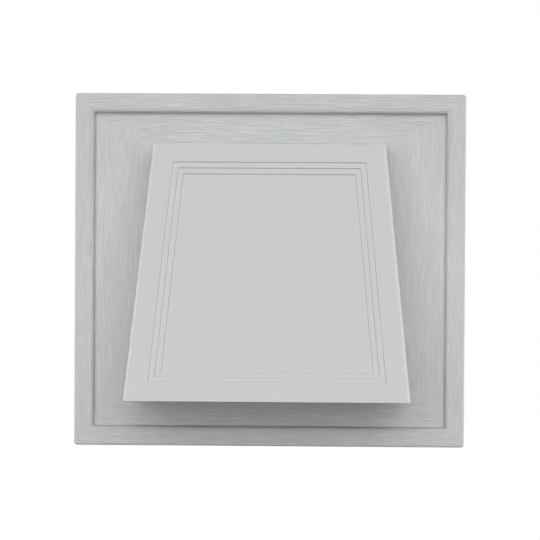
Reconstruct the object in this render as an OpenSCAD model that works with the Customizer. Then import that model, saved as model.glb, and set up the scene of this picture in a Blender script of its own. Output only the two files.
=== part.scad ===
// Hooded wall vent for a round duct, set into horizontal wall siding.
// X runs across the wall, Z up the wall, and the front looks along -Y.
// The wall is the plane y = 0, and the origin lies there on the duct's axis.

/* [Front frame] */
// Width over the frame's outer edges
frame_w = 225; // [210:1:260]
// Height over the frame's outer edges
frame_h = 203.2; // [195:0.2:240]
// From the frame's front down to the edge that meets the siding
frame_depth = 14; // [11:0.5:20]
// Width of the raised border, from the outer edge to the crease
border_w = 11.4; // [10:0.2:15]
// How far the border stands in front of the panel
border_rise = 5; // [3.5:0.1:6.5]
// Width of the border's rounded inner bevel
bevel_w = 3.8; // [3:0.1:5]
// Radius at the top of that bevel
bevel_r = 2.6; // [2.2:0.1:3]
// Radius of the frame's outer corners, seen from the front
outer_corner_r = 2.8; // [2.2:0.1:6]
// Radius along the frame's outer front edge
outer_edge_r = 1.4; // [0.6:0.1:2]
// Wall of the front frame and its panel
frame_wall = 1.8; // [1.4:0.1:2]
// Distance between the stiffening ribs behind the border
rib_pitch = 36; // [24:1:60]
// Thickness of every stiffening rib
rib_t = 1.2; // [0.8:0.1:2]

/* [Hood] */
// Width of the hood's face at its top
hood_top_w = 129.8; // [120:0.1:140]
// Width of the hood's face at its open bottom
hood_bottom_w = 152.6; // [142:0.1:160]
// Height of the hood's top edge over the duct's axis
hood_rise = 71; // [66:0.1:76]
// Depth of the hood's bottom edge under the duct's axis
hood_drop = 68.6; // [64:0.1:74]
// How far the hood's top edge stands in front of the frame
hood_top_reach = 31; // [22:0.5:40]
// How far the hood's bottom edge stands in front of the frame
hood_bottom_reach = 86; // [74:0.5:96]
// Wall of the hood
hood_wall = 2; // [1.6:0.1:2.4]
// Widening of the hood towards the wall, in degrees a side
hood_draft = 2; // [1:0.25:3]
// Radius along the two leaning side edges of the face
hood_edge_r = 2.7; // [2.6:0.1:5]
// Thickness of the flange that holds the hood behind the panel
hood_flange_t = 2; // [1.5:0.1:3]
// Clearance round the hood where it comes through the panel
hood_clearance = 0.2; // [0.1:0.05:0.4]

/* [Stepped face] */
// How many steps lead down to the middle of the face
step_count = 3; // [1:1:4]
// Width of each tread
step_tread = 3.13; // [2:0.01:4]
// Height of each riser
step_riser = 1.1; // [0.5:0.05:1.4]
// Plain margin at each side of the face
face_margin_side = 12; // [8:0.1:16]
// Plain margin at the top of the face
face_margin_top = 11; // [8:0.1:16]
// Plain margin at the bottom of the face
face_margin_bottom = 11; // [8:0.1:16]

/* [Mounting base] */
// Thickness of the base plate
base_t = 2; // [1.5:0.1:3]
// How far the base plate stays inside the frame's outer edge
base_inset = 5; // [4:0.5:6]
// Radius of the base plate's corners
base_corner_r = 4; // [2:0.5:6]
// Room for the siding, between the base plate and the frame's edge
siding_room = 14; // [10:1:25]
// Wall of the box that the front snaps to
box_wall = 2; // [1.5:0.1:2.5]
// From the panel's crease in to the outside of the box
box_inset = 3.1; // [2.8:0.1:4]
// Width of a nailing slot
slot_w = 4.4; // [3.5:0.1:5]
// Length of a nailing slot, end to end
slot_len = 18; // [12:1:24]
// From the middle to each slot in the top and bottom rows
slot_row_x = 70; // [60:1:78]
// From the middle to each slot in the side rows
slot_row_z = 62; // [56:1:68]

/* [Duct collar and damper] */
// Outside diameter of the duct collar
collar_d = 99; // [92:0.5:103]
// Wall of the duct collar
collar_wall = 2; // [1.6:0.1:3]
// Length of the collar behind the wall's face
collar_len = 45; // [30:1:75]
// Length of the tapered lead-in at the collar's end
collar_lead = 3; // [2:0.5:5]
// How far the collar stands in front of the base plate, as the flap's seat
seat_rise = 8; // [7:0.5:9]
// Thickness of the damper flap
flap_t = 1.4; // [1:0.1:2]
// How far the flap's edge reaches past the outside of the collar
flap_lap = 1.2; // [0.5:0.1:2]
// Height of the stiffening rim on the flap's front
flap_rim = 1.4; // [0.8:0.1:2]
// From each hinge ear in to the edge of the neck that joins the flap to its barrel
neck_inset = 8; // [4:1:14]
// Gap between the closed flap and its seat
flap_gap = 0.25; // [0.2:0.05:0.5]
// Diameter of the flap's hinge pins
pin_d = 3; // [2.4:0.1:3.6]
// Running clearance round a hinge pin, on the radius
pin_clearance = 0.05; // [0.02:0.01:0.1]
// Distance between the middles of the two hinge ears
ear_span = 56; // [44:1:70]
// Thickness of a hinge ear
ear_t = 2.6; // [2:0.1:3.5]

/* [Snaps] */
// Width of a snap finger
finger_w = 14; // [8:1:20]
// Thickness of a snap finger
finger_t = 1.5; // [1.2:0.1:1.7]
// How far a snap lug and a finger's barb reach towards each other
snap_depth = 1; // [0.6:0.1:1.1]
// Gap between the snap fingers' ends and the base plate
finger_gap = 6.5; // [5:0.5:8]
// From the middle to each finger in the top and bottom rows
finger_row_x = 36; // [24:1:60]
// From the middle to each finger in the side rows
finger_row_z = 36; // [24:1:60]

/* [Hidden] */
front_grey = [0.79, 0.80, 0.80];
hood_grey = [0.80, 0.81, 0.81];
base_grey = [0.72, 0.73, 0.73];
flap_grey = [0.66, 0.67, 0.67];
$fn = 64;
eps = 0.01;
arc_steps = 8;
blend_fn = 32;
snap_play = 0.2;
catch_play = 0.1;
end_play = 0.3;

// Distances in front of the wall's face
siding_level = base_t + siding_room;
front_level = siding_level + frame_depth;
panel_level = front_level - border_rise;
panel_back = panel_level - frame_wall;
rim_level = panel_back - hood_flange_t;
seat_level = base_t + seat_rise;

// Half sizes of the front, seen from the front
crease_x = frame_w / 2 - border_w;
crease_z = frame_h / 2 - border_w;
box_x = crease_x - box_inset;
box_z = crease_z - box_inset;
plate_x = frame_w / 2 - base_inset;
plate_z = frame_h / 2 - base_inset;
strip_mid = (border_w + box_inset + base_inset) / 2;

// The bevel's straight stretch rises at this angle to meet its arc
bevel_centre = [bevel_w, -bevel_r];
bevel_reach = bevel_centre + [0, border_rise];
bevel_angle = atan2(bevel_reach.y, bevel_reach.x) + asin(bevel_r / norm(bevel_reach));

// The hood's leaning face
lean = atan2(hood_bottom_reach - hood_top_reach, hood_rise + hood_drop);
face_len = (hood_rise + hood_drop) / cos(lean);
face_taper = atan2((hood_bottom_w - hood_top_w) / 2, face_len);

// The hood's body is drawn this far past its top and bottom, before they are cut
hood_ext = 14;

// The damper's hinge, above its seat
barrel_r = pin_d / 2 + 0.8;
hinge_z = collar_d / 2 + 1.9 + barrel_r;
hinge_level = seat_level - 0.5;
flap_r = collar_d / 2 + flap_lap;
flap_level = seat_level + flap_gap;

// Levels of the snap fingers' ends and of the barbs' catching faces
finger_end = base_t + finger_gap;
barb_len = 2;
catch_level = finger_end + barb_len;

// Draws its outline on the wall's plane, from one level forward by depth
module from_level(level, depth) {
    translate([0, -level, 0])
        rotate([90, 0, 0])
            linear_extrude(depth)
                children();
}

module round_rect(half_x, half_z, r) {
    square([2 * half_x, 2 * (half_z - r)], center = true);
    square([2 * (half_x - r), 2 * half_z], center = true);
    for (sx = [-1, 1], sz = [-1, 1])
        translate([sx * (half_x - r), sz * (half_z - r)])
            circle(r);
}

// The bevel from crease to border top, as offsets from the crease and the front, grown into the wall
function bevel_line(grow) = concat(
    [[grow * tan(bevel_angle / 2), -border_rise - grow]],
    [for (i = [0:arc_steps])
        let (a = 90 + bevel_angle * (1 - i / arc_steps))
            bevel_centre + max(bevel_r - grow, 0.1) * [cos(a), sin(a)]]
);

function pocket_outline(half, grow) = let (line = bevel_line(grow)) concat(
    [for (p = line) [half + p.x, -front_level - p.y]],
    [[half + bevel_w, -front_level - 1], [-half - bevel_w, -front_level - 1]],
    [for (i = [len(line) - 1:-1:0]) [-half - line[i].x, -front_level - line[i].y]]
);

// The panel's recess, its four bevels meeting in mitres
module panel_pocket(grow) {
    intersection() {
        linear_extrude(2 * frame_h, center = true)
            polygon(pocket_outline(crease_x, grow));
        rotate([0, -90, 0])
            linear_extrude(2 * frame_w, center = true)
                polygon(pocket_outline(crease_z, grow));
    }
}

// One corner of the frame's outer form, with its rounded front edge
module frame_post() {
    rotate([90, 0, 0])
        rotate_extrude($fn = blend_fn)
            polygon(concat(
                [[0, siding_level], [outer_corner_r, siding_level]],
                [for (i = [0:arc_steps]) let (a = 90 * i / arc_steps)
                    [outer_corner_r - outer_edge_r, front_level - outer_edge_r]
                        + outer_edge_r * [cos(a), sin(a)]],
                [[0, front_level]]
            ));
}

module frame_outer() {
    hull()
        for (sx = [-1, 1], sz = [-1, 1])
            translate([sx * (frame_w / 2 - outer_corner_r), 0, sz * (frame_h / 2 - outer_corner_r)])
                frame_post();
}

module frame_hollow() {
    difference() {
        from_level(siding_level - 1, frame_depth - frame_wall + 1)
            round_rect(frame_w / 2 - frame_wall, frame_h / 2 - frame_wall,
                       outer_corner_r - frame_wall);
        panel_pocket(frame_wall);
    }
}

// The hood's outline on the wall's plane at a level, grown or shrunk all round
module hood_section(level, grow) {
    spread = tan(hood_draft);
    top = front_level + hood_top_reach - level;
    bottom = front_level + hood_bottom_reach - level;
    top_x = hood_top_w / 2 + spread * top + grow;
    bottom_x = hood_bottom_w / 2 + spread * bottom + grow;
    polygon([
        [-top_x, hood_rise + spread * top + grow],
        [top_x, hood_rise + spread * top + grow],
        [bottom_x, -hood_drop - max(grow, 0)],
        [-bottom_x, -hood_drop - max(grow, 0)]
    ]);
}

// Repeats one piece at each finger's place, with local Z across the finger
// and local X pointing outwards from the middle
module at_snaps() {
    for (side = [-1, 1], place = [-1, 1]) {
        translate([side * box_x, 0, place * finger_row_z])
            rotate([0, side > 0 ? 0 : 180, 0])
                children();
        translate([place * finger_row_x, 0, side * box_z])
            rotate([0, side > 0 ? -90 : 90, 0])
                children();
    }
}

module snap_finger() {
    inner = snap_depth + snap_play;
    translate([inner, -panel_back - eps, -finger_w / 2])
        cube([finger_t, panel_back - finger_end + eps, finger_w]);
    linear_extrude(finger_w, center = true)
        polygon([
            [inner + eps, -finger_end],
            [inner + eps, -catch_level + catch_play],
            [snap_play, -catch_level + catch_play]
        ]);
}

module snap_lug() {
    linear_extrude(finger_w + 2, center = true)
        polygon([[-eps, -catch_level], [snap_depth, -catch_level], [-eps, -catch_level - 1.5 * barb_len]]);
}

// Ribs that tie the border's skirt to its bevel, along one side of the frame
module border_ribs(half_len, skirt_x, wall_x) {
    rows = floor((half_len - finger_w) / rib_pitch);
    for (i = [-rows:rows])
        translate([wall_x, -front_level + frame_wall - eps, i * rib_pitch - rib_t / 2])
            cube([skirt_x - wall_x, frame_depth - frame_wall - 3, rib_t]);
}

module trim_frame() {
    color(front_grey) {
        difference() {
            union() {
                difference() {
                    frame_outer();
                    frame_hollow();
                }
                for (side = [0, 180])
                    rotate([0, side, 0])
                        border_ribs(crease_z, frame_w / 2 - frame_wall / 2, crease_x + 1);
                for (side = [-90, 90])
                    rotate([0, side, 0])
                        border_ribs(crease_x, frame_h / 2 - frame_wall / 2, crease_z + 1);
            }
            panel_pocket(0);
            from_level(panel_back - 1, frame_wall + 2)
                hood_section(panel_back, hood_clearance);
        }
        at_snaps() snap_finger();
    }
}

// Places its children on the hood's face: local Y runs up it, local Z out of it
module on_face() {
    translate([0, -front_level - hood_top_reach, hood_rise])
        rotate([90 - lean, 0, 0])
            children();
}

// The face's trapezoid, set in from its sides, top and bottom
module face_shape(side, top, bottom) {
    function half_at(y) = hood_top_w / 2 - y * tan(face_taper) - side / cos(face_taper);
    polygon([
        [-half_at(-top), -top],
        [half_at(-top), -top],
        [half_at(bottom - face_len), bottom - face_len],
        [-half_at(bottom - face_len), bottom - face_len]
    ]);
}

// The recesses, or with grow the wall that stays behind them
module face_steps(grow) {
    for (i = [0:step_count - 1])
        on_face()
            translate([0, 0, -(i + 1) * step_riser - grow])
                linear_extrude((i + 1) * step_riser + grow + 6)
                    face_shape(
                        face_margin_side + i * step_tread - grow,
                        face_margin_top + i * step_tread - grow,
                        face_margin_bottom + i * step_tread - grow
                    );
}

// The hood's body before its top and bottom are cut, set in by one wall for the cavity
module hood_wedge(inset) {
    r = max(hood_edge_r - inset, 0.5);
    setback = inset + r;
    hull() {
        for (side = [-1, 1], y = [hood_ext, -face_len - hood_ext])
            on_face()
                translate([
                    side * (hood_top_w / 2 - y * tan(face_taper) - setback / cos(face_taper)),
                    y,
                    -setback
                ])
                    sphere(r, $fn = blend_fn);
        from_level(rim_level - inset, 1)
            hood_root(inset);
    }
}

// Where the hood's long sides reach the flange, past its top and bottom
module hood_root(inset) {
    spread = tan(hood_draft);
    function half_at(z) =
        hood_top_w / 2 + (hood_rise - z) * tan(lean_taper())
        + spread * (front_level + hood_top_reach + (hood_rise - z) * tan(lean) - rim_level) - inset;
    high = hood_rise + hood_ext * cos(lean);
    low = -hood_drop - hood_ext * cos(lean);
    polygon([[-half_at(high), high], [half_at(high), high], [half_at(low), low], [-half_at(low), low]]);
}

// The face's taper, seen square on to the wall
function lean_taper() = atan2((hood_bottom_w - hood_top_w) / 2, hood_rise + hood_drop);

// Side view of the hood between its top wall and its open bottom, as a cutting block
module hood_band(inset) {
    spread = tan(hood_draft);
    far = front_level + hood_bottom_reach + hood_ext;
    near = rim_level - inset;
    function top_at(level) = hood_rise + spread * (front_level + hood_top_reach - level) - inset;
    low = -hood_drop - inset;
    rotate([0, -90, 0])
        linear_extrude(2 * frame_w, center = true)
            polygon([[low, -near], [top_at(near), -near], [top_at(far), -far], [low, -far]]);
}

module hood() {
    color(hood_grey) {
        difference() {
            union() {
                difference() {
                    intersection() {
                        hood_wedge(0);
                        hood_band(0);
                    }
                    face_steps(0);
                }
                from_level(rim_level, hood_flange_t)
                    round_rect(box_x, box_z, 1);
            }
            difference() {
                intersection() {
                    hood_wedge(hood_wall);
                    hood_band(hood_wall);
                }
                face_steps(hood_wall);
                from_level(rim_level - 1, panel_level - rim_level + 1)
                    translate([0, -hood_drop - box_z])
                        square([4 * box_x, 2 * box_z], center = true);
            }
        }
    }
}

// A nailing slot, its length along local X
module slot_shape() {
    run = slot_len - slot_w;
    square([run, slot_w], center = true);
    for (side = [-1, 1])
        translate([side * run / 2, 0])
            circle(slot_w / 2);
}

module nailing_slots() {
    for (side = [-1, 1], place = [-1, 1]) {
        translate([place * slot_row_x, side * (frame_h / 2 - strip_mid)])
            slot_shape();
        translate([side * (frame_w / 2 - strip_mid), place * slot_row_z])
            rotate(90)
                slot_shape();
    }
}

// An ear beside the flap, with the bore for one of its pins
module hinge_ear() {
    reach = hinge_level + barrel_r - base_t;
    rotate([0, 90, 0])
        translate([0, 0, -ear_t / 2])
            difference() {
                union() {
                    translate([-hinge_z, -hinge_level, 0])
                        cylinder(h = ear_t, r = barrel_r + 0.6);
                    translate([-hinge_z - barrel_r - 0.6, -hinge_level, 0])
                        cube([2 * barrel_r + 1.2, reach - barrel_r + eps, ear_t]);
                }
                translate([-hinge_z, -hinge_level, -1])
                    cylinder(h = ear_t + 2, r = pin_d / 2 + pin_clearance);
            }
}

// The collar's tube with its tapered end, its axis along Y
module duct_collar() {
    outer_r = collar_d / 2;
    inner_r = outer_r - collar_wall;
    rotate([90, 0, 0])
        rotate_extrude($fn = 128)
            polygon([
                [inner_r, seat_level],
                [outer_r, seat_level],
                [outer_r, collar_lead - collar_len],
                [outer_r - collar_wall / 2, -collar_len],
                [inner_r, -collar_len]
            ]);
}

module mounting_base() {
    color(base_grey) {
        difference() {
            union() {
                from_level(0, base_t)
                    difference() {
                        round_rect(plate_x, plate_z, base_corner_r);
                        nailing_slots();
                    }
                from_level(base_t - eps, rim_level - base_t + eps)
                    difference() {
                        round_rect(box_x, box_z, 1);
                        square([2 * (box_x - box_wall), 2 * (box_z - box_wall)], center = true);
                    }
                plate_ribs();
            }
            rotate([90, 0, 0])
                cylinder(h = 4 * front_level, r = collar_d / 2 - collar_wall / 2, center = true, $fn = 128);
        }
        duct_collar();
        at_snaps() snap_lug();
        for (side = [-1, 1])
            translate([side * ear_span / 2, 0, 0])
                hinge_ear();
    }
}

// Ribs on the base plate that run from the collar into the box's corners
module plate_ribs() {
    corner = [box_x - box_wall / 2, box_z - box_wall / 2];
    for (sx = [-1, 1], sz = [-1, 1])
        from_level(base_t - eps, seat_rise / 2)
            mirror([sx > 0 ? 0 : 1, 0])
                mirror([0, sz > 0 ? 0 : 1])
                    rotate(atan2(corner.y, corner.x))
                        translate([collar_d / 2 - collar_wall, -rib_t / 2])
                            square([norm(corner) - collar_d / 2 + collar_wall, rib_t]);
}

module damper_flap() {
    inner_x = ear_span / 2 - ear_t / 2;
    neck_x = inner_x - neck_inset;
    color(flap_grey) {
        from_level(flap_level, flap_t)
            union() {
                circle(flap_r, $fn = 128);
                translate([-neck_x, 0])
                    square([2 * neck_x, hinge_z]);
            }
        from_level(flap_level + flap_t - eps, flap_rim + eps)
            difference() {
                circle(flap_r, $fn = 128);
                circle(flap_r - rib_t, $fn = 128);
            }
        translate([0, -hinge_level, hinge_z])
            rotate([0, 90, 0]) {
                cylinder(h = 2 * (inner_x - end_play), r = barrel_r, center = true);
                cylinder(h = ear_span + ear_t, r = pin_d / 2, center = true);
            }
    }
}

trim_frame();
hood();
mounting_base();
damper_flap();
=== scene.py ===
"""Looks of the hooded wall vent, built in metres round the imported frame."""

import math

import bmesh
import bpy
from bpy.props import FloatProperty, FloatVectorProperty, IntProperty, PointerProperty
from bpy.types import Operator, Panel, PropertyGroup
from mathutils import Matrix, Vector


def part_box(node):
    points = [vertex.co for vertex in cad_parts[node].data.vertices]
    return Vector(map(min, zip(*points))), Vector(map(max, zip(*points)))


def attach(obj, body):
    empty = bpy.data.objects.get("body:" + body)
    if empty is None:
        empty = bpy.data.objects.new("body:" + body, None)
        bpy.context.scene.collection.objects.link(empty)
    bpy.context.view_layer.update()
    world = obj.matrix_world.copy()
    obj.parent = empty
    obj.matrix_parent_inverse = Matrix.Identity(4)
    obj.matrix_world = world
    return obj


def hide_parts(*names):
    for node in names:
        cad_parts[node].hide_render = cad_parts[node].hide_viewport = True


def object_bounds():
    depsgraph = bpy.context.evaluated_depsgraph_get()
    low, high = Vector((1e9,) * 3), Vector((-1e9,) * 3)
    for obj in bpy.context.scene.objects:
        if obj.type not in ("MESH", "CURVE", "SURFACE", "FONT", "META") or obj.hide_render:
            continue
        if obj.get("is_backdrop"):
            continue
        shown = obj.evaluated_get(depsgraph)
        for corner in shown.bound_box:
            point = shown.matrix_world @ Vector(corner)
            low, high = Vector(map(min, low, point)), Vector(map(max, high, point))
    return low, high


bl_info = {
    "name": "Hooded wall vent",
    "version": (1, 0, 0),
    "blender": (4, 5, 0),
    "location": "3D View > Sidebar > Wall Vent",
    "description": "Dresses a wall vent: grained front frame, leaning hood, base with duct collar, flap",
    "category": "Object",
}

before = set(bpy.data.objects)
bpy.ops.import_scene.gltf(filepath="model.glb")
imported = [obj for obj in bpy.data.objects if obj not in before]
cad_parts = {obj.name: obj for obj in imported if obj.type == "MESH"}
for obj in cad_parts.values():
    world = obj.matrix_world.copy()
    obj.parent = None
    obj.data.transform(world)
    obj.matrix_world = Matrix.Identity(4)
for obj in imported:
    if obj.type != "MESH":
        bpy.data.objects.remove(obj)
CAD_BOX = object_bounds()
MM = 0.001
FRONT_LOW, FRONT_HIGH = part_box("trim_frame")
FLANGE_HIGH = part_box("hood")[1]
WALL_TO_FRONT = -FRONT_LOW.y / MM


def length(name, description, default):
    """A size in metres, whose default is written in millimetres."""
    return FloatProperty(
        name=name,
        description=description,
        default=default * MM,
        precision=5,
        subtype="DISTANCE",
        unit="LENGTH",
    )


def colour(name, description, default):
    """A linear colour from black to white."""
    return FloatVectorProperty(
        name=name,
        description=description,
        default=default,
        size=3,
        min=0.0,
        max=1.0,
        subtype="COLOR",
    )


class FrontSizes(PropertyGroup):
    """Sizes of the grained front frame."""

    front_level: length("Front level", "From the wall to the frame's front", WALL_TO_FRONT)
    depth: length("Depth", "From the frame's front down to the edge on the siding", 14.0)
    border_w: length("Border width", "From the outer edge to the crease", 11.4)
    border_rise: length("Border rise", "How far the border stands in front of the panel", 5.0)
    bevel_w: length("Bevel width", "Width of the border's rounded inner bevel", 3.8)
    bevel_r: length("Bevel radius", "Radius of the inner bevel's round part", 4.3)
    bevel_turn: FloatProperty(
        name="Bevel turn",
        description="Slope where the inner bevel's round part ends and its wall starts",
        default=math.radians(50.0),
        subtype="ANGLE",
        unit="ROTATION",
    )
    corner_r: length("Corner radius", "Radius of the outer corners, seen from the front", 2.0)
    edge_r: length("Edge radius", "Radius along the outer front edge", 1.4)
    wall: length("Wall", "Wall of the frame and its panel", 1.8)
    soft_edge: length("Edge softening", "Small round on the frame's other edges", 0.22)
    rib_pitch: length("Rib pitch", "Distance between the ribs behind the border", 36.0)
    rib_t: length("Rib thickness", "Thickness of a rib behind the border", 1.2)
    finger_w: length("Finger width", "Width of a snap finger", 14.0)
    finger_t: length("Finger thickness", "Thickness of a snap finger", 1.5)
    finger_end: length("Finger end", "From the wall to the snap fingers' ends", 8.5)
    finger_reach: length("Finger reach", "From the middle to the fingers in each row", 36.0)
    barb: length("Barb", "How far a finger's barb reaches inwards", 1.0)


class HoodSizes(PropertyGroup):
    """Sizes of the hood and its stepped face."""

    top_w: length("Top width", "Width of the face at its top", 129.8)
    bottom_w: length("Bottom width", "Width of the face at its open bottom", 152.6)
    rise: length("Rise", "Height of the top edge over the duct's axis", 71.0)
    drop: length("Drop", "Depth of the bottom edge under the duct's axis", 68.6)
    top_reach: length("Top reach", "How far the top edge stands in front of the frame", 31.0)
    bottom_reach: length("Bottom reach", "How far the bottom edge stands in front", 86.0)
    wall: length("Wall", "Wall of the hood and thickness of its flange", 2.0)
    edge_r: length("Side edge radius", "Radius along the two leaning side edges", 2.7)
    soft_edge: length("Edge softening", "Small round on the hood's other edges", 0.2)
    step_edge: length("Step softening", "Round on the steps' edges", 0.22)
    tread: length("Tread", "Distance from one riser to the next", 3.13)
    riser: length("Riser", "Height of a step's riser", 1.1)
    riser_draft: length("Riser draft", "How far a riser slopes towards the middle", 0.2)
    steps: IntProperty(name="Steps", description="Steps down to the face's middle", default=3)
    margin_side: length("Side margin", "Plain margin at each side of the face", 11.9)
    margin_end: length("End margin", "Plain margin at the face's top and bottom", 10.9)
    draft: FloatProperty(
        name="Draft",
        description="Widening of the hood towards the wall, each side",
        default=math.radians(2.0),
        subtype="ANGLE",
        unit="ROTATION",
    )


class PlasticLook(PropertyGroup):
    """Colours and relief of the moulded plastic."""

    grained: colour("Grained plastic", "Colour of the grained front frame", (0.559, 0.573, 0.575))
    smooth: colour("Smooth plastic", "Colour of the hood", (0.570, 0.584, 0.578))
    plain: colour("Plain plastic", "Colour of the base and the flap", (0.52, 0.535, 0.535))
    streak_w: length("Streak width", "Distance between the grain's streaks", 1.2)
    streak_len: length("Streak length", "Length of the grain's streaks", 22.0)
    grain_depth: length("Grain depth", "Depth of the embossed grain", 0.22)
    gloss: FloatProperty(
        name="Roughness", description="Roughness of the plastic", default=0.5, min=0.0, max=1.0
    )


class StageLook(PropertyGroup):
    """The floor, the camera and the lamps."""

    floor_level: length("Floor", "Height of the floor's surface", -850.0)
    floor_half: length("Floor size", "Half the floor's width", 3000.0)
    eye: FloatVectorProperty(
        name="Camera place",
        description="Where the camera stands",
        default=(0.0154, -1.09, 0.0160),
        subtype="TRANSLATION",
        unit="LENGTH",
    )
    yaw: FloatProperty(
        name="Yaw",
        description="Turn of the camera to the left",
        default=math.radians(0.821),
        subtype="ANGLE",
        unit="ROTATION",
    )
    pitch: FloatProperty(
        name="Pitch",
        description="Tilt of the camera downwards",
        default=math.radians(0.857),
        subtype="ANGLE",
        unit="ROTATION",
    )
    roll: FloatProperty(
        name="Roll",
        description="Roll of the camera against the clock",
        default=math.radians(0.349),
        subtype="ANGLE",
        unit="ROTATION",
    )
    lens: FloatProperty(
        name="Lens", description="Focal length for a 36 mm wide sensor", default=122.74
    )


def place(piece, body, slot, *nodes):
    """Sets what a finished piece rides on and stands for; its slot is not used."""
    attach(piece, body)
    if nodes:
        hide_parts(*nodes)


def make_piece(name, bm, materials):
    """A smooth-shaded object from a bmesh."""
    mesh = bpy.data.meshes.new(name)
    bm.to_mesh(mesh)
    bm.free()
    mesh.shade_smooth()
    piece = bpy.data.objects.new(name, mesh)
    bpy.context.collection.objects.link(piece)
    for material in materials:
        mesh.materials.append(material)
    return piece


def weigh_edges(bm, share, angle=40.0):
    """Sets how much of the softening each sharp edge gets, by a function of the edge."""
    weights = bm.edges.layers.float.new("bevel_weight_edge")
    for edge in bm.edges:
        if edge.is_manifold and edge.calc_face_angle() > math.radians(angle):
            edge[weights] = share(edge)


def soften(piece, width, segments=2):
    """Rounds the weighed edges a little and keeps the flat faces' shading flat."""
    bevel = piece.modifiers.new("soft edges", "BEVEL")
    bevel.width = width
    bevel.segments = segments
    bevel.limit_method = "WEIGHT"
    bevel.use_clamp_overlap = True
    bevel.miter_outer = "MITER_ARC"
    normals = piece.modifiers.new("flat faces", "WEIGHTED_NORMAL")
    normals.keep_sharp = True


def ring(bm, points):
    """A closed ring of edges through the points."""
    corners = [bm.verts.new(p) for p in points]
    return [bm.edges.new((a, b)) for a, b in zip(corners, corners[1:] + corners[:1])]


def rectangle(half_x, half_z, level):
    """Four corners on a level in front of the wall."""
    return [Vector((sx * half_x, -level, sz * half_z)) for sx, sz in ((-1, -1), (1, -1), (1, 1), (-1, 1))]


def extend(bm, edges, corners):
    """Extrudes a ring of four edges, each end going to the corner in its own quarter."""
    pushed = bmesh.ops.extrude_edge_only(bm, edges=edges)["geom"]
    moved = {v for v in pushed if isinstance(v, bmesh.types.BMVert)}
    places = {(p.x > 0.0, p.z > 0.0): p for p in corners}
    for vert in moved:
        vert.co = places[vert.co.x > 0.0, vert.co.z > 0.0]
    return [e for e in pushed if isinstance(e, bmesh.types.BMEdge) and moved.issuperset(e.verts)]


def block(bm, low, high):
    """A box between two corners."""
    low, high = Vector(low), Vector(high)
    size = high - low
    matrix = Matrix.Translation((low + high) / 2) @ Matrix.Diagonal((*size, 1.0))
    bmesh.ops.create_cube(bm, size=1.0, matrix=matrix)


# The grained front frame


def front_skin(bm, sizes, hood_ring):
    """The frame's front: skirt, rolled outer edge, border, bevel, crease and panel."""
    half_x, half_z = FRONT_HIGH.x, FRONT_HIGH.z
    back = sizes.front_level - sizes.depth
    blank = bm.faces.new([bm.verts.new(p) for p in rectangle(half_x, half_z, back)])
    bmesh.ops.bevel(
        bm,
        geom=blank.verts[:],
        offset=sizes.corner_r,
        segments=8,
        profile=0.5,
        affect="VERTICES",
        material=-1,
    )
    pushed = bmesh.ops.extrude_face_region(bm, geom=bm.faces[:])["geom"]
    moved = [v for v in pushed if isinstance(v, bmesh.types.BMVert)]
    bmesh.ops.translate(bm, verts=moved, vec=(0.0, -sizes.depth, 0.0))
    front = [f for f in pushed if isinstance(f, bmesh.types.BMFace)]
    rolled = list(front[0].edges)
    bmesh.ops.bevel(
        bm,
        geom=rolled,
        offset=sizes.edge_r,
        segments=6,
        profile=0.5,
        affect="EDGES",
        material=-1,
    )
    flats = [f for f in bm.faces if len(f.verts) > 4]
    lid = min(flats, key=lambda f: f.calc_center_median().y)
    outer = list(lid.edges)
    bmesh.ops.delete(bm, geom=flats, context="FACES_ONLY")

    crease_x = half_x - sizes.border_w
    crease_z = half_z - sizes.border_w
    arc_steps = 8
    turns = [sizes.bevel_turn * i / arc_steps for i in range(arc_steps + 1)]
    profile = [
        (
            sizes.bevel_w - sizes.bevel_r * math.sin(turn),
            sizes.front_level - sizes.bevel_r * (1.0 - math.cos(turn)),
        )
        for turn in turns
    ]
    profile.append((0.0, sizes.front_level - sizes.border_rise))
    inner = ring(bm, rectangle(crease_x + profile[0][0], crease_z + profile[0][0], profile[0][1]))
    bmesh.ops.triangle_fill(bm, edges=outer + inner, normal=(0.0, -1.0, 0.0))
    for grow, level in profile[1:]:
        inner = extend(bm, inner, rectangle(crease_x + grow, crease_z + grow, level))
    extend(bm, inner, hood_ring)


def snap_fingers(bm, sizes, box_x, box_z):
    """Fingers behind the panel whose barbs catch on the base's box."""
    back = sizes.front_level - sizes.border_rise - sizes.wall
    half_w = sizes.finger_w / 2
    play = 0.2 * MM
    barb_rise = 2.0 * MM
    inner = sizes.barb + play
    for turn, reach in ((0, box_x), (90, box_z), (180, box_x), (270, box_z)):
        spin = Matrix.Rotation(math.radians(-turn), 3, "Y")
        for side in (-1, 1):
            along = side * sizes.finger_reach
            start = len(bm.verts)
            block(
                bm,
                (reach + inner, -back - play, along - half_w),
                (reach + inner + sizes.finger_t, -sizes.finger_end, along + half_w),
            )
            foot = [
                bm.verts.new((reach + inner, -sizes.finger_end, along - half_w)),
                bm.verts.new((reach + inner, -sizes.finger_end - barb_rise, along - half_w)),
                bm.verts.new((reach + play, -sizes.finger_end - barb_rise, along - half_w)),
            ]
            wedge = bmesh.ops.extrude_face_region(bm, geom=[bm.faces.new(foot)])["geom"]
            ends = [v for v in wedge if isinstance(v, bmesh.types.BMVert)]
            bmesh.ops.translate(bm, verts=ends, vec=(0.0, 0.0, sizes.finger_w))
            bm.verts.ensure_lookup_table()
            bmesh.ops.rotate(bm, verts=bm.verts[start:], cent=(0.0, 0.0, 0.0), matrix=spin)


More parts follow.
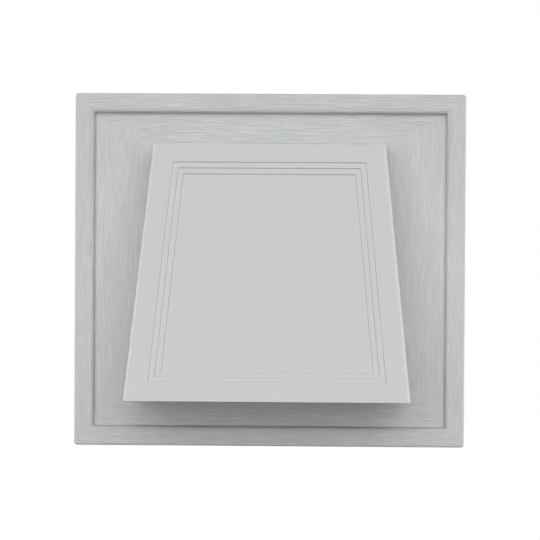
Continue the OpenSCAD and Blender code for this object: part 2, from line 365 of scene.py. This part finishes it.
def border_ribs(bm, sizes):
    """Ribs that tie the skirt to the bevel, in rows behind the four borders."""
    level_low = sizes.front_level - sizes.depth + 3.0 * MM
    level_high = sizes.front_level - sizes.wall / 2
    half_x, half_z = FRONT_HIGH.x, FRONT_HIGH.z
    for turn in (0, 90, 180, 270):
        reach, run = (half_z, half_x) if turn % 180 else (half_x, half_z)
        spin = Matrix.Rotation(math.radians(-turn), 3, "Y")
        rows = int((run - sizes.border_w - sizes.finger_w) / sizes.rib_pitch)
        start = len(bm.verts)
        for i in range(-rows, rows + 1):
            along = i * sizes.rib_pitch
            block(
                bm,
                (reach - sizes.border_w + sizes.bevel_w / 2, -level_high, along - sizes.rib_t / 2),
                (reach - sizes.wall / 2, -level_low, along + sizes.rib_t / 2),
            )
        bm.verts.ensure_lookup_table()
        bmesh.ops.rotate(bm, verts=bm.verts[start:], cent=(0.0, 0.0, 0.0), matrix=spin)


def paint_grain_zones(bm, crease_x, crease_z):
    """Gives the faces above and below the first material, those at the sides the second."""
    for face in bm.faces:
        centre = face.calc_center_median()
        face.material_index = int(abs(centre.x) - crease_x > abs(centre.z) - crease_z)


class VENT_OT_front(Operator):
    """Builds the grained front frame"""

    bl_idname = "vent.front"
    bl_label = "Front frame"

    def execute(self, context):
        sizes = context.scene.vent_front
        hood = context.scene.vent_hood
        clearance = 0.2 * MM
        panel_back = sizes.front_level - sizes.border_rise - sizes.wall
        bm = bmesh.new()
        level = sizes.front_level - sizes.border_rise
        around = hood_root(sizes, hood, panel_back, clearance)
        front_skin(bm, sizes, [Vector((p.x, -level, p.z)) for p in around])
        bmesh.ops.recalc_face_normals(bm, faces=bm.faces[:])
        face_forward(bm)
        bmesh.ops.solidify(bm, geom=bm.faces[:], thickness=sizes.wall)
        snap_fingers(bm, sizes, FLANGE_HIGH.x, FLANGE_HIGH.z)
        border_ribs(bm, sizes)
        bmesh.ops.recalc_face_normals(bm, faces=bm.faces[:])
        paint_grain_zones(bm, FRONT_HIGH.x - sizes.border_w, FRONT_HIGH.z - sizes.border_w)
        weigh_edges(bm, lambda edge: 1.0)
        materials = [grained_plastic("grain_across", 0), grained_plastic("grain_upright", 2)]
        piece = make_piece("front_frame", bm, materials)
        soften(piece, sizes.soft_edge)
        place(piece, "vent", "grained_front", "trim_frame")
        return {"FINISHED"}


def face_forward(bm):
    """Turns the whole skin round if its front faces look at the wall."""
    broad = max(bm.faces, key=lambda f: f.calc_area())
    if broad.normal.y > 0.0:
        bmesh.ops.reverse_faces(bm, faces=bm.faces[:])


# The hood


def face_axes(hood):
    """The face's width, its way up and its way out."""
    lean = math.atan2(hood.bottom_reach - hood.top_reach, hood.rise + hood.drop)
    up = Vector((0.0, math.sin(lean), math.cos(lean)))
    out = Vector((0.0, -math.cos(lean), math.sin(lean)))
    return lean, up, out


def face_corners(front, hood, side, end, depth=0.0):
    """Corners of the face's trapezoid, set in from its sides and ends and sunk by depth."""
    lean, up, out = face_axes(hood)
    reach = (hood.rise + hood.drop) / math.cos(lean)
    taper = math.atan2((hood.bottom_w - hood.top_w) / 2, reach)
    top = Vector((0.0, -front.front_level - hood.top_reach, hood.rise))
    corners = []
    for sx, down in ((-1, reach - end), (1, reach - end), (1, end), (-1, end)):
        half = hood.top_w / 2 + down * math.tan(taper) - side / math.cos(taper)
        corners.append(top + Vector((sx * half, 0.0, 0.0)) - up * down - out * depth)
    return corners


def hood_root(front, hood, level, grow=0.0):
    """Corners of the hood's outline where it meets a level near the wall."""
    spread = math.tan(hood.draft)
    taper = (hood.bottom_w - hood.top_w) / 2 / (hood.rise + hood.drop)
    lean = (hood.bottom_reach - hood.top_reach) / (hood.rise + hood.drop)
    top = hood.rise + spread * (front.front_level + hood.top_reach - level)
    corners = []
    for sx, z in ((-1, -hood.drop), (1, -hood.drop), (1, top), (-1, top)):
        below = hood.rise - z
        reach = front.front_level + hood.top_reach + below * lean - level
        half = hood.top_w / 2 + below * taper + spread * reach + grow
        corners.append(Vector((sx * half, -level, z + math.copysign(grow, z))))
    return corners


class VENT_OT_hood(Operator):
    """Builds the leaning hood with its stepped face, open bottom and flange"""

    bl_idname = "vent.hood"
    bl_label = "Hood"

    def execute(self, context):
        front = context.scene.vent_front
        hood = context.scene.vent_hood
        panel_back = front.front_level - front.border_rise - front.wall
        bm = bmesh.new()
        face = [bm.verts.new(p) for p in face_corners(front, hood, 0.0, 0.0)]
        root = [bm.verts.new(p) for p in hood_root(front, hood, panel_back)]
        lid = bm.faces.new(face)
        for a, b in ((1, 2), (2, 3), (3, 0)):
            bm.faces.new((face[b], face[a], root[a], root[b]))
        bm.edges.new((root[0], root[1]))
        sides = [e for e in lid.edges if abs(e.verts[0].co.z - e.verts[1].co.z) > hood.rise]
        bmesh.ops.bevel(
            bm, geom=sides, offset=hood.edge_r, segments=10, profile=0.5, affect="EDGES", material=-1
        )
        lean, up, out = face_axes(hood)
        lid = max(bm.faces, key=lambda f: abs(f.normal.dot(out)) * f.calc_area())
        rim = list(lid.edges)
        bmesh.ops.delete(bm, geom=[lid], context="FACES_ONLY")
        recess = extend(bm, rim, face_corners(front, hood, hood.margin_side, hood.margin_end))
        floor = bmesh.ops.contextual_create(bm, geom=recess)["faces"]
        if floor[0].normal.dot(out) < 0.0:
            bmesh.ops.reverse_faces(bm, faces=floor)
        flat = hood.tread - hood.riser_draft
        for step in range(hood.steps):
            bmesh.ops.inset_region(
                bm, faces=floor, thickness=hood.riser_draft, depth=-hood.riser, use_even_offset=True
            )
            if step < hood.steps - 1:
                bmesh.ops.inset_region(bm, faces=floor, thickness=flat, use_even_offset=True)
        hole = [e for e in bm.edges if all(abs(v.co.y + panel_back) < 0.01 * MM for v in e.verts)]
        extend(bm, hole, rectangle(FLANGE_HIGH.x, FLANGE_HIGH.z, panel_back))
        bmesh.ops.recalc_face_normals(bm, faces=bm.faces[:])
        face_forward(bm)
        bmesh.ops.solidify(bm, geom=bm.faces[:], thickness=hood.wall)
        low = [
            v
            for v in bm.verts
            if abs(v.co.z + hood.drop) < hood.wall and -v.co.y > front.front_level
        ]
        bmesh.ops.scale(
            bm, verts=low, vec=(1.0, 1.0, 0.0), space=Matrix.Translation((0.0, 0.0, hood.drop))
        )
        bmesh.ops.recalc_face_normals(bm, faces=bm.faces[:])
        middle = Vector((0.0, -front.front_level, hood.rise)) + Vector((0.0, -hood.top_reach, 0.0))
        reach = (hood.rise + hood.drop) / math.cos(lean)

        def share(edge):
            """The whole softening on the steps, and less on the other edges."""
            centre = (edge.verts[0].co + edge.verts[1].co) / 2
            down = (middle - centre).dot(up)
            sunk = abs((centre - middle).dot(out)) < hood.steps * hood.riser + hood.wall
            in_face = hood.margin_end / 2 < down < reach - hood.margin_end / 2
            return 1.0 if sunk and in_face else hood.soft_edge / hood.step_edge

        weigh_edges(bm, share)
        piece = make_piece("hood_shell", bm, [smooth_plastic("hood_satin", "smooth")])
        soften(piece, hood.step_edge)
        place(piece, "vent", "smooth_hood", "hood")
        return {"FINISHED"}


# The hidden base and the flap


def keep_flats_flat(bm, angle=35.0, broad=1000.0 * MM * MM):
    """Marks edges sharp where the surface turns much, and all round broad flat faces."""
    for edge in bm.edges:
        if edge.is_manifold:
            beside_broad = max(face.calc_area() for face in edge.link_faces) > broad
            limit = 3.0 if beside_broad else angle
            edge.smooth = math.degrees(edge.calc_face_angle()) < limit


def dressed_copy(node, name, material, body, slot):
    """A merged, smooth copy of a CAD node."""
    bm = bmesh.new()
    bm.from_mesh(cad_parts[node].data)
    bmesh.ops.remove_doubles(bm, verts=bm.verts[:], dist=0.002 * MM)
    bmesh.ops.dissolve_limit(
        bm, angle_limit=math.radians(1.0), verts=bm.verts[:], edges=bm.edges[:]
    )
    keep_flats_flat(bm)
    piece = make_piece(name, bm, [material])
    normals = piece.modifiers.new("flat faces", "WEIGHTED_NORMAL")
    normals.keep_sharp = True
    place(piece, body, slot, node)
    return piece


class VENT_OT_base(Operator):
    """Dresses the mounting base with its duct collar and the damper flap"""

    bl_idname = "vent.base"
    bl_label = "Base and flap"

    def execute(self, context):
        material = smooth_plastic("base_plain", "plain")
        dressed_copy("mounting_base", "base_with_collar", material, "vent", "plain_base")
        dressed_copy("damper_flap", "gravity_flap", material, "flap", "plain_flap")
        return {"FINISHED"}


# Materials


class Signal:
    """A socket of a material. Sums and products of it add Math nodes."""

    def __init__(self, shading, socket):
        self.shading = shading
        self.socket = socket

    def math(self, operation, *others):
        return self.shading.node("ShaderNodeMath", {"operation": operation}, self, *others)

    def __add__(self, other):
        return self.math("ADD", other)

    def __radd__(self, other):
        return self.math("ADD", other)

    def __sub__(self, other):
        return self.math("SUBTRACT", other)

    def __rsub__(self, other):
        return self.shading.node("ShaderNodeMath", {"operation": "SUBTRACT"}, other, self)

    def __mul__(self, other):
        return self.math("MULTIPLY", other)

    def __rmul__(self, other):
        return self.math("MULTIPLY", other)

    def power(self, other):
        return self.math("POWER", other)


class Shading:
    """A material's nodes, with its main shader ready."""

    def __init__(self, name):
        self.material = bpy.data.materials.new(name)
        self.material.use_nodes = True
        self.tree = self.material.node_tree
        self.shader = self.tree.nodes["Principled BSDF"]

    def node(self, kind, settings, *values, out=0, **named):
        """Adds a node: settings first, then values or links by place or by name."""
        node = self.tree.nodes.new(kind)
        for key, value in settings.items():
            setattr(node, key, value)
        sockets = [*enumerate(values), *((key.replace("_", " "), v) for key, v in named.items())]
        for key, value in sockets:
            if isinstance(value, Signal):
                self.tree.links.new(value.socket, node.inputs[key])
            else:
                node.inputs[key].default_value = value
        return Signal(self, node.outputs[out])

    def set(self, **named):
        """Sets or links sockets of the main shader."""
        for key, value in named.items():
            socket = self.shader.inputs[key.replace("_", " ")]
            if isinstance(value, Signal):
                self.tree.links.new(value.socket, socket)
            else:
                socket.default_value = value

    def noise(self, vector, detail=2.0, roughness=0.5, distortion=0.0):
        """Fractal noise from 0 to 1 with cells one unit wide."""
        return self.node(
            "ShaderNodeTexNoise",
            {},
            Vector=vector,
            Scale=1.0,
            Detail=detail,
            Roughness=roughness,
            Distortion=distortion,
        )

    def place(self, scale, location=(0.0, 0.0, 0.0)):
        """Object coordinates, scaled to a pattern's cells."""
        coordinates = self.node("ShaderNodeTexCoord", {}, out="Object")
        return self.node("ShaderNodeMapping", {}, Vector=coordinates, Location=location, Scale=scale)

    def tint(self, base, tone_and_painted_shade):
        """The base colour times a number that varies over the surface."""
        grey = self.node("ShaderNodeCombineXYZ", {}, tone_and_painted_shade, tone_and_painted_shade, tone_and_painted_shade)
        return self.node("ShaderNodeVectorMath", {"operation": "MULTIPLY"}, (*base,), grey)


def along_axis(axis, along, across):
    """A scale with one value along an axis and another across it."""
    scale = [across, across, across]
    scale[axis] = along
    return scale


def grained_plastic(name, axis):
    """Satin plastic embossed with fine wood grain that runs along an axis, its grooves darkened by
    painted shade.
    """
    look = bpy.context.scene.vent_look
    shading = Shading(name)
    cell = 1.0 / look.streak_w
    run = 1.0 / look.streak_len
    drift = shading.noise(shading.place(along_axis(axis, run * 0.9, run * 2.5)), detail=1.0)
    streaks = shading.noise(shading.place(along_axis(axis, run, cell)), detail=1.0)
    finer = along_axis(axis, run * 1.8, cell * 2.0)
    fine = shading.noise(shading.place(finer, (3.0, 5.0, 7.0)), detail=1.0)
    relief = streaks * 0.4 + fine * 0.6
    height = shading.node(
        "ShaderNodeMapRange", {}, Value=relief, From_Min=0.38, From_Max=0.62, To_Min=0.0, To_Max=1.0
    )
    wide = shading.noise(shading.place((14.0, 14.0, 14.0)), detail=1.0)
    # Painted shade: low parts of the grain's relief are coloured up to 10% darker, standing for the shade
    # in its grooves; drift and wide add random tone.
    tone_and_painted_shade = 0.93 + 0.1 * height + 0.04 * (drift - 0.5) + 0.03 * (wide - 0.5)
    bump = shading.node(
        "ShaderNodeBump", {}, Strength=1.0, Distance=look.grain_depth, Height=height
    )
    shading.set(
        Base_Color=shading.tint(look.grained, tone_and_painted_shade),
        Roughness=look.gloss + 0.08 * (streaks - 0.5),
        Normal=bump,
        IOR=1.46,
    )
    return shading.material


def smooth_plastic(name, which):
    """Satin moulded plastic with a faint fine texture."""
    look = bpy.context.scene.vent_look
    shading = Shading(name)
    fine = shading.noise(shading.place((1400.0, 1400.0, 1400.0)), detail=1.0)
    broad = shading.noise(shading.place((18.0, 18.0, 18.0)), detail=2.0)
    bump = shading.node("ShaderNodeBump", {}, Strength=1.0, Distance=0.012 * MM, Height=fine)
    shading.set(
        Base_Color=shading.tint(getattr(look, which), 0.99 + 0.02 * broad),
        Roughness=look.gloss + 0.06 * (broad - 0.5),
        Normal=bump,
        IOR=1.46,
    )
    return shading.material


# The stage

# Each lamp: its name, azimuth and height in degrees, angular size in degrees, strength
LAMPS = (
    ("upper_left_lamp", -15.0, 23.0, 38.0, 0.66),
    ("upper_right_lamp", 15.0, 23.0, 38.0, 0.76),
    ("lower_left_lamp", -15.0, 6.0, 38.0, 0.62),
    ("lower_right_lamp", 15.0, 6.0, 38.0, 0.43),
    ("right_lamp", 70.0, 5.0, 45.0, 0.16),
    ("top_lamp", 0.0, 72.0, 45.0, 0.15),
    ("left_strip", -102.0, 5.0, 45.0, 1.7),
    ("right_strip", 102.0, 5.0, 45.0, 1.6),
    ("back_lamp", 180.0, 15.0, 60.0, 1.5),
)
AMBIENT = 0.1


def white_where_seen(world):
    """A world that looks white itself and lights the object at a plainer level."""
    world.use_nodes = True
    tree = world.node_tree
    tree.nodes.clear()
    rays = tree.nodes.new("ShaderNodeLightPath")
    seen = tree.nodes.new("ShaderNodeMath")
    seen.operation = "MAXIMUM"
    tree.links.new(rays.outputs["Is Camera Ray"], seen.inputs[0])
    tree.links.new(rays.outputs["Is Glossy Ray"], seen.inputs[1])
    through = tree.nodes.new("ShaderNodeMath")
    through.operation = "MAXIMUM"
    tree.links.new(seen.outputs[0], through.inputs[0])
    tree.links.new(rays.outputs["Is Transmission Ray"], through.inputs[1])
    ambient = tree.nodes.new("ShaderNodeBackground")
    ambient.inputs["Strength"].default_value = AMBIENT
    white = tree.nodes.new("ShaderNodeBackground")
    white.inputs["Color"].default_value = (1.0, 1.0, 1.0, 1.0)
    pick = tree.nodes.new("ShaderNodeMixShader")
    tree.links.new(through.outputs[0], pick.inputs[0])
    tree.links.new(ambient.outputs[0], pick.inputs[1])
    tree.links.new(white.outputs[0], pick.inputs[2])
    output = tree.nodes.new("ShaderNodeOutputWorld")
    tree.links.new(pick.outputs[0], output.inputs[0])
    ambient.inputs["Color"].default_value = (0.97, 0.99, 1.0, 1.0)


class VENT_OT_stage(Operator):
    """Sets up the floor, the lamps, the white surroundings and the camera"""

    bl_idname = "vent.stage"
    bl_label = "Stage"

    def execute(self, context):
        scene = context.scene
        stage = scene.vent_stage
        bm = bmesh.new()
        bmesh.ops.create_grid(
            bm,
            x_segments=1,
            y_segments=1,
            size=stage.floor_half,
            matrix=Matrix.Translation((0.0, 0.0, stage.floor_level)),
        )
        floor_shading = Shading("pale_floor")
        seen = [
            floor_shading.node("ShaderNodeLightPath", {}, out=f"Is {kind} Ray")
            for kind in ("Camera", "Glossy", "Transmission")
        ]
        seen_at_all = seen[0].math("MAXIMUM", seen[1]).math("MAXIMUM", seen[2])
        grey = 0.3 + 0.5 * seen_at_all
        floor_shading.set(Base_Color=floor_shading.tint((1.0, 1.0, 1.0), grey), Roughness=0.9)
        make_piece("studio_floor", bm, [floor_shading.material])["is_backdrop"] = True
        for name, azimuth, height, size, strength in LAMPS:
            lamp = bpy.data.lights.new(name, "SUN")
            lamp.energy = strength
            lamp.angle = math.radians(size)
            holder = bpy.data.objects.new(name, lamp)
            turn = Matrix.Rotation(math.radians(azimuth), 4, "Z")
            tilt = Matrix.Rotation(math.radians(90.0 - height), 4, "X")
            holder.matrix_world = turn @ tilt
            scene.collection.objects.link(holder)
        world = bpy.data.worlds.new("white_studio")
        scene.world = world
        white_where_seen(world)
        lens = bpy.data.cameras.new("photo_camera")
        lens.lens = stage.lens
        lens.sensor_width = 36.0
        camera = bpy.data.objects.new("photo_camera", lens)
        turn = Matrix.Rotation(stage.yaw, 4, "Z")
        tilt = Matrix.Rotation(math.pi / 2 - stage.pitch, 4, "X")
        roll = Matrix.Rotation(stage.roll, 4, "Z")
        camera.matrix_world = Matrix.Translation(stage.eye) @ turn @ tilt @ roll
        scene.collection.objects.link(camera)
        scene.camera = camera
        scene.view_settings.view_transform = "Standard"
        return {"FINISHED"}


class VENT_PT_panel(Panel):
    """Lists the vent's sizes and the operators that build it"""

    bl_label = "Hooded wall vent"
    bl_idname = "VENT_PT_panel"
    bl_space_type = "VIEW_3D"
    bl_region_type = "UI"
    bl_category = "Wall Vent"

    def draw(self, context):
        for group in GROUPS:
            box = self.layout.box()
            box.label(text=group.bl_rna.name)
            values = getattr(context.scene, GROUPS[group])
            for key in group.__annotations__:
                box.prop(values, key)
        for operator in OPERATORS:
            self.layout.operator(operator.bl_idname)


GROUPS = {
    FrontSizes: "vent_front",
    HoodSizes: "vent_hood",
    PlasticLook: "vent_look",
    StageLook: "vent_stage",
}
OPERATORS = (VENT_OT_front, VENT_OT_hood, VENT_OT_base, VENT_OT_stage)


def register():
    for group, attribute in GROUPS.items():
        bpy.utils.register_class(group)
        setattr(bpy.types.Scene, attribute, PointerProperty(type=group))
    for item in (*OPERATORS, VENT_PT_panel):
        bpy.utils.register_class(item)


def unregister():
    for item in (VENT_PT_panel, *reversed(OPERATORS)):
        bpy.utils.unregister_class(item)
    for group, attribute in reversed(GROUPS.items()):
        delattr(bpy.types.Scene, attribute)
        bpy.utils.unregister_class(group)


def main():
    register()
    bpy.ops.vent.front()
    bpy.ops.vent.hood()
    bpy.ops.vent.base()
    bpy.ops.vent.stage()
    boxes = {"cad": CAD_BOX, "visual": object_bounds()}
    {key: [list(corner) for corner in box] for key, box in boxes.items()}


if __name__ == "__main__":
    main()
